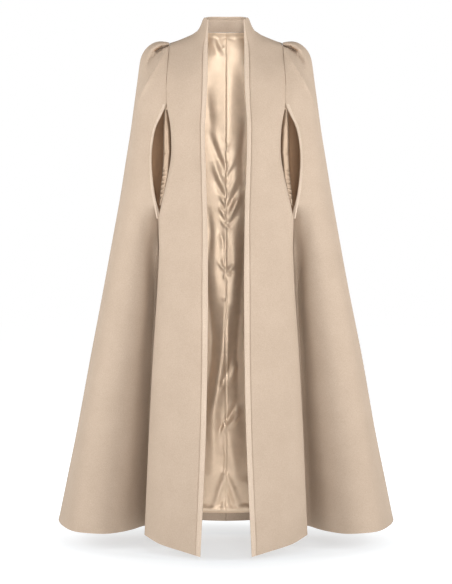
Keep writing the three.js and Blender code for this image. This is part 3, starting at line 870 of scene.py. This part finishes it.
def satin_material(name, colour):
    """Satin lining: smooth, with a soft broad gloss and very fine threads along the grain."""
    if name in bpy.data.materials:
        return bpy.data.materials[name]
    material, tree, surface = new_material(name)
    cloth = tree.nodes.new("ShaderNodeUVMap")
    cloth.uv_map = "Cloth"
    stretch = tree.nodes.new("ShaderNodeMapping")
    stretch.inputs["Scale"].default_value = (1.0, 0.06, 1.0)
    tree.links.new(cloth.outputs["UV"], stretch.inputs["Vector"])
    threads = noise(tree, stretch.outputs["Vector"], 1500.0, 2.0, 0.5)
    coordinates = tree.nodes.new("ShaderNodeTexCoord")
    ripples = noise(tree, coordinates.outputs["Object"], 38.0, 3.0, 0.55)
    tone = math_node(tree, "ADD", math_node(tree, "MULTIPLY", threads, 0.4),
                     math_node(tree, "MULTIPLY", ripples, 0.6))
    factor = map_range(tree, tone, 0.35, 0.65, 0.0, 1.0)
    colour_out = mix_colours(tree, factor, shaded(colour, (0.93, 0.92, 0.9)),
                             shaded(colour, (1.05, 1.05, 1.06)))
    tree.links.new(colour_out, surface.inputs["Base Color"])
    rough = map_range(tree, threads, 0.3, 0.7, 0.46, 0.56)
    tree.links.new(rough, surface.inputs["Roughness"])
    bump = tree.nodes.new("ShaderNodeBump")
    bump.inputs["Strength"].default_value = 0.25
    bump.inputs["Distance"].default_value = 0.002
    tree.links.new(tone, bump.inputs["Height"])
    tree.links.new(bump.outputs["Normal"], surface.inputs["Normal"])
    surface.inputs["Sheen Weight"].default_value = 0.15
    surface.inputs["Sheen Roughness"].default_value = 0.3
    surface.inputs["Sheen Tint"].default_value = (1.0, 0.86, 0.70, 1)
    surface.inputs["IOR"].default_value = 1.6
    surface.inputs["Specular IOR Level"].default_value = 0.7
    surface.inputs["Metallic"].default_value = 0.58
    return material


def wool():
    """The cloth of the panels."""
    return wool_material("melton wool", tuple(colours().wool))


def wool_edge():
    """The pressed wool of the bands, the lips and the collar: a lighter copy of the wool, painted
    light.
    """
    return wool_material("melton wool, painted lighter", tuple(colours().wool_edge))


def satin():
    """The back lining."""
    return satin_material("satin lining", tuple(colours().satin))


def satin_of_sides_painted_dark():
    """The side linings: a darker copy of the satin, painted shade, as little light gets in at the
    slits.
    """
    return satin_material("painted dark satin of the side linings", tuple(colours().satin_of_sides_painted_dark))


def satin_of_rolls_painted_dark():
    """The satin that rolls out at the slits: a darker copy of the satin, painted shade."""
    return satin_material("painted dark satin of the slit rolls", tuple(colours().satin_of_rolls_painted_dark))


# Slow unevenness of hanging cloth, made of a few waves

def drift(points, seed, lengths):
    """A smooth height between -1 and 1 that wanders over the cloth, the same on each run."""
    generator = np.random.default_rng(seed)
    height = np.zeros(points.shape[:2])
    for length in lengths:
        direction = generator.normal(size=3) * WAVE_SHARES
        direction /= np.linalg.norm(direction)
        phase = generator.uniform(0, 2 * math.pi)
        height += np.sin(points @ direction * 2 * math.pi / length + phase)
    return edge_fade(points, (0.0, 0.0, WAVE_FADE, WAVE_FADE)) * height / len(lengths)


# The pieces

def sewn_wool(points, normals, seams, waves, number):
    """Wool with its pressed seams and its slow unevenness.

    seams holds the depth of the seam along the first and the last column, as shares."""
    size = sizes()
    height = seam_dip(points, *seams, size.seam_depth, size.seam_width)
    height += size.wool_relief * drift(points, waves.seed + number, waves.lengths)
    return points + normals * height[..., None]


def push_ridge(points):
    """Moves the front panel forwards in a soft ridge along its outer edge."""
    s = from_edge(points, outer_column(points))
    ridge = at_depth(points, RIDGE_HEIGHTS) * bell(s - RIDGE_PLACE, RIDGE_WIDTH)
    points[..., 1] -= ridge * np.clip(s / RIDGE_START, 0, 1)


def dress_edge(kind, wall, name, side):
    """Makes a front band or the lip of an arm slit."""
    node = f"{kind}_{name}"
    points, normals = surface_of(node, wall, side, sizes().step * EDGE_STEP_SHARE, smooth=0,
                                 edges=NARROW_EDGE_STEPS)
    height = seam_dip(points, 1.0, 1.0, EDGE_SEAM_DEPTH, EDGE_SEAM_WIDTH)
    points = points + normals * height[..., None]
    if kind == "slit_lip":
        s = from_edge(points, -1 - outer_column(points))
        points[..., 1] += LIP_TURN * bell(s, LIP_TURN_WIDTH)
    piece = cloth_mesh(f"{node}_cloth", points, normals, wall, side)
    # painted light: the bands and lips get the lighter copy of the wool
    finish_cloth(piece, node, wool_edge())


def dress_side_lining(name, side):
    """Makes the satin lining of one side, which follows the puffed shoulder and the hollow."""
    node = f"side_lining_{name}"
    points, normals = surface_of(node, SATIN_WALL, side, sizes().step)
    height = SIDE_LINING_EDGE + SIDE_LINING_SLACK * edge_fade(points, SIDE_LINING_FADES)
    push_folds(points, normals, SHOULDER_FOLDS, side)
    push_groove(points, free_edge=True)
    points = points - normals * height[..., None]
    piece = cloth_mesh(f"{node}_cloth", points, normals_of(points, side), SATIN_WALL, side)
    # painted shade: the side lining gets the darker copy of the satin
    finish_cloth(piece, node, satin_of_sides_painted_dark())


def dress_slit_lining(name, side):
    """Makes the satin that rolls out behind the front panel's edge in one arm slit."""
    node = f"slit_lining_{name}"
    points, _ = surface_of(node, SATIN_WALL, side, ROLL_STEP, smooth=1,
                           even_step=ROLL_SMOOTHING_STEP, edges=ROLL_EDGE_STEPS)
    points[..., 1] -= fold_height(SLIT_ROLL_FOLDS, points * (-side, 1, 1))
    piece = cloth_mesh(f"{node}_cloth", points, normals_of(points, side), SATIN_WALL, side)
    # painted shade: the roll gets the darker copy of the satin
    finish_cloth(piece, node, satin_of_rolls_painted_dark())


class CAPE_OT_front_panels(bpy.types.Operator):
    """Makes the two front panels with their grown-on stand collar."""
    bl_idname = "cape.front_panels"
    bl_label = "Front panels"

    def execute(self, context):
        for number, (name, side) in enumerate(SIDES.items()):
            node = f"front_panel_{name}"
            points, normals = surface_of(node, WOOL_WALL, side, sizes().step)
            seams = (1.0, BAND_SEAM_SHARE) if outer_column(points) == 0 else (BAND_SEAM_SHARE, 1.0)
            points = sewn_wool(points, normals, seams, FRONT_WAVES, number)
            push_ridge(points)
            piece = cloth_mesh(f"{node}_cloth", points, normals_of(points, side), WOOL_WALL, side)
            finish_cloth(piece, node, wool())
        return {"FINISHED"}


class CAPE_OT_side_panels(bpy.types.Operator):
    """Makes the two side panels, with the puffed and pleated shoulder heads."""
    bl_idname = "cape.side_panels"
    bl_label = "Side panels"

    def execute(self, context):
        for number, (name, side) in enumerate(SIDES.items()):
            node = f"side_panel_{name}"
            points, normals = surface_of(node, WOOL_WALL, side, sizes().step,
                                         fine_length=PUFF_LENGTH)
            points = sewn_wool(points, normals, (1.0, 1.0), SIDE_WAVES, number)
            push_folds(points, normals, SHOULDER_FOLDS, side)
            push_groove(points, free_edge=False)
            piece = cloth_mesh(f"{node}_cloth", points, normals_of(points, side), WOOL_WALL, side)
            finish_cloth(piece, node, wool())
        return {"FINISHED"}


class CAPE_OT_back_panels(bpy.types.Operator):
    """Makes the two back panels, sewn together along the centre back."""
    bl_idname = "cape.back_panels"
    bl_label = "Back panels"

    def execute(self, context):
        for name, side in SIDES.items():
            node = f"back_panel_{name}"
            points, normals = surface_of(node, WOOL_WALL, side, sizes().step)
            meet_at_centre(points)
            points = sewn_wool(points, normals, (1.0, 1.0), BACK_WAVES, 0)
            meet_at_centre(points)
            reach_out(points, outer_column(points), at_depth(points, BACK_REACHES))
            piece = cloth_mesh(f"{node}_cloth", points, normals_of(points, side), WOOL_WALL, side)
            finish_cloth(piece, node, wool())
        return {"FINISHED"}


class CAPE_OT_collar(bpy.types.Operator):
    """Makes the stand collar at the back of the neck."""
    bl_idname = "cape.collar"
    bl_label = "Back collar"

    def execute(self, context):
        points, normals = surface_of("back_collar", COLLAR_WALL, 1.0,
                                     sizes().step * COLLAR_STEP_SHARE)
        below_top = lengths_on(points)[1]
        lines = line_height(COLLAR_ROLL, below_top) + line_height(COLLAR_STITCHING, below_top)
        ends = edge_fade(points, (0.0, 0.0, COLLAR_END_FADE, COLLAR_END_FADE))
        wall = COLLAR_WALL + lines * ends
        piece = cloth_mesh("back_collar_cloth", points, normals, wall, 1.0)
        # painted light: the collar gets the lighter copy of the wool, though its inside lies in
        # shade
        finish_cloth(piece, "back_collar", wool_edge())
        return {"FINISHED"}


class CAPE_OT_edges(bpy.types.Operator):
    """Makes the bands along the front edges and the lips round the arm slits."""
    bl_idname = "cape.edges"
    bl_label = "Bands and lips"

    def execute(self, context):
        for name, side in SIDES.items():
            dress_edge("front_band", BAND_WALL, name, side)
            dress_edge("slit_lip", LIP_WALL, name, side)
        return {"FINISHED"}


class CAPE_OT_back_linings(bpy.types.Operator):
    """Makes the satin back lining, with the folds that run into its centre seam."""
    bl_idname = "cape.back_linings"
    bl_label = "Back linings"

    def execute(self, context):
        size = sizes()
        for name, side in SIDES.items():
            node = f"back_lining_{name}"
            points, normals = surface_of(node, SATIN_WALL, side, size.fold_step)
            centre_first = meet_at_centre(points)
            sides = (0.0, LINING_SIDE_FADE) if centre_first else (LINING_SIDE_FADE, 0.0)
            fade = edge_fade(points, (LINING_TOP_FADE, LINING_HEM_FADE, *sides))
            height = size.lining_slack + fold_height(BACK_LINING_FOLDS, points)
            height += line_height(HEM_ROLL, from_hem(points))
            height = no_lower_than(height, LINING_FLOOR, LINING_FLOOR_SOFTNESS) * fade
            height += seam_dip(points, centre_first, not centre_first, LINING_SEAM, LINING_SEAM)
            points = points - normals * np.maximum(height, 0.0)[..., None]
            meet_at_centre(points)
            piece = cloth_mesh(f"{node}_cloth", points, normals_of(points, side),
                               SATIN_WALL, side)
            finish_cloth(piece, node, satin())
        return {"FINISHED"}


class CAPE_OT_linings(bpy.types.Operator):
    """Makes the satin linings of the sides and of the arm slits."""
    bl_idname = "cape.linings"
    bl_label = "Side and slit linings"

    def execute(self, context):
        for name, side in SIDES.items():
            dress_side_lining(name, side)
            dress_slit_lining(name, side)
        return {"FINISHED"}


# Camera, lights, floor

def area_light(lamp):
    """Adds one soft rectangular lamp that shines at its target."""
    data = bpy.data.lights.new(lamp.name, "AREA")
    data.shape = "RECTANGLE"
    data.size = lamp.width
    data.size_y = lamp.height
    data.energy = lamp.watts
    light = bpy.data.objects.new(lamp.name, data)
    light.location = lamp.place
    aim = Vector(lamp.target) - Vector(lamp.place)
    light.rotation_euler = aim.to_track_quat("-Z", "Y").to_euler()
    bpy.context.collection.objects.link(light)


def add_camera():
    """The camera at the photograph's viewpoint, level, all in focus."""
    data = bpy.data.cameras.new("view")
    data.sensor_fit = "VERTICAL"
    data.sensor_height = SENSOR
    data.lens = FOCAL_PIXELS / FRAME_HEIGHT * SENSOR
    data.dof.use_dof = False
    camera = bpy.data.objects.new("view", data)
    camera.location = CAMERA_PLACE
    camera.rotation_euler = (math.radians(90), 0, 0)
    bpy.context.collection.objects.link(camera)
    bpy.context.scene.camera = camera


def add_world():
    """A white backdrop that gives the coat only a little light from all round."""
    world = bpy.data.worlds.new("studio")
    world.use_nodes = True
    background = world.node_tree.nodes["Background"]
    background.inputs["Color"].default_value = (1.0, 1.0, 1.0, 1)
    rays = world.node_tree.nodes.new("ShaderNodeLightPath")
    strength = map_range(world.node_tree, rays.outputs["Is Camera Ray"], 0, 1,
                         STUDIO_LIGHT, BACKDROP_LIGHT)
    world.node_tree.links.new(strength, background.inputs["Strength"])
    bpy.context.scene.world = world


def floor_material():
    """A pale floor, glowing with painted light: more further out, to run into the white backdrop,
    and less near the coat, as painted shade.
    """
    material, tree, surface = new_material("floor")
    surface.inputs["Base Color"].default_value = (*colours().floor, 1)
    surface.inputs["Roughness"].default_value = 0.9
    surface.inputs["Specular IOR Level"].default_value = 0.1
    surface.inputs["Emission Color"].default_value = (1, 1, 1, 1)
    coordinates = tree.nodes.new("ShaderNodeTexCoord")
    length = tree.nodes.new("ShaderNodeVectorMath")
    length.operation = "LENGTH"
    tree.links.new(coordinates.outputs["Object"], length.inputs[0])
    near = map_range(tree, length.outputs["Value"], *NEAR_GLOW)
    far = map_range(tree, length.outputs["Value"], *FAR_GLOW)
    glow = math_node(tree, "ADD", near, far)
    # painted light: the floor's glow, dimmer near the coat, paints a darker pool round the hem
    tree.links.new(glow, surface.inputs["Emission Strength"])
    return material


class CAPE_OT_stage(bpy.types.Operator):
    """Sets the camera at the photograph's viewpoint, soft studio light and a pale floor."""
    bl_idname = "cape.stage"
    bl_label = "Camera, light and floor"

    def execute(self, context):
        add_camera()
        context.scene.view_settings.view_transform = "Standard"
        for lamp in LAMPS:
            area_light(lamp)
        add_world()
        for other in context.selected_objects:
            other.select_set(False)
        bpy.ops.mesh.primitive_plane_add(size=FLOOR_SIZE, location=(0, 0, HEM_Z - sizes().floor_gap))
        floor = context.active_object
        floor.name = "floor"
        bpy.ops.object.transform_apply(location=True)
        floor.data.materials.append(floor_material())
        floor.select_set(False)
        return {"FINISHED"}


class CAPE_PT_panel(bpy.types.Panel):
    """Lists the sizes, the colours and the steps that make the coat."""
    bl_label = "Cape coat"
    bl_idname = "CAPE_PT_panel"
    bl_space_type = "VIEW_3D"
    bl_region_type = "UI"
    bl_category = "Cape coat"

    def draw(self, context):
        column = self.layout.column()
        for group in (context.scene.cape_sizes, context.scene.cape_colours):
            for name in group.__annotations__:
                column.prop(group, name)
        for operator in OPERATORS:
            column.operator(operator.bl_idname)


OPERATORS = (
    CAPE_OT_stage, CAPE_OT_front_panels, CAPE_OT_side_panels, CAPE_OT_back_panels,
    CAPE_OT_collar, CAPE_OT_edges, CAPE_OT_back_linings, CAPE_OT_linings,
)
CLASSES = (CapeSizes, CapeColours, *OPERATORS, CAPE_PT_panel)


def register():
    """Adds the sizes, the colours, the steps and the panel to Blender."""
    for cls in CLASSES:
        bpy.utils.register_class(cls)
    bpy.types.Scene.cape_sizes = PointerProperty(type=CapeSizes)
    bpy.types.Scene.cape_colours = PointerProperty(type=CapeColours)


def unregister():
    """Takes them away again."""
    del bpy.types.Scene.cape_sizes
    del bpy.types.Scene.cape_colours
    for cls in reversed(CLASSES):
        bpy.utils.unregister_class(cls)


def main():
    """Makes the coat and its stage."""
    register()
    bpy.ops.cape.stage()
    bpy.ops.cape.front_panels()
    bpy.ops.cape.side_panels()
    bpy.ops.cape.back_panels()
    bpy.ops.cape.collar()
    bpy.ops.cape.edges()
    bpy.ops.cape.back_linings()
    bpy.ops.cape.linings()


if __name__ == "__main__":
    main()
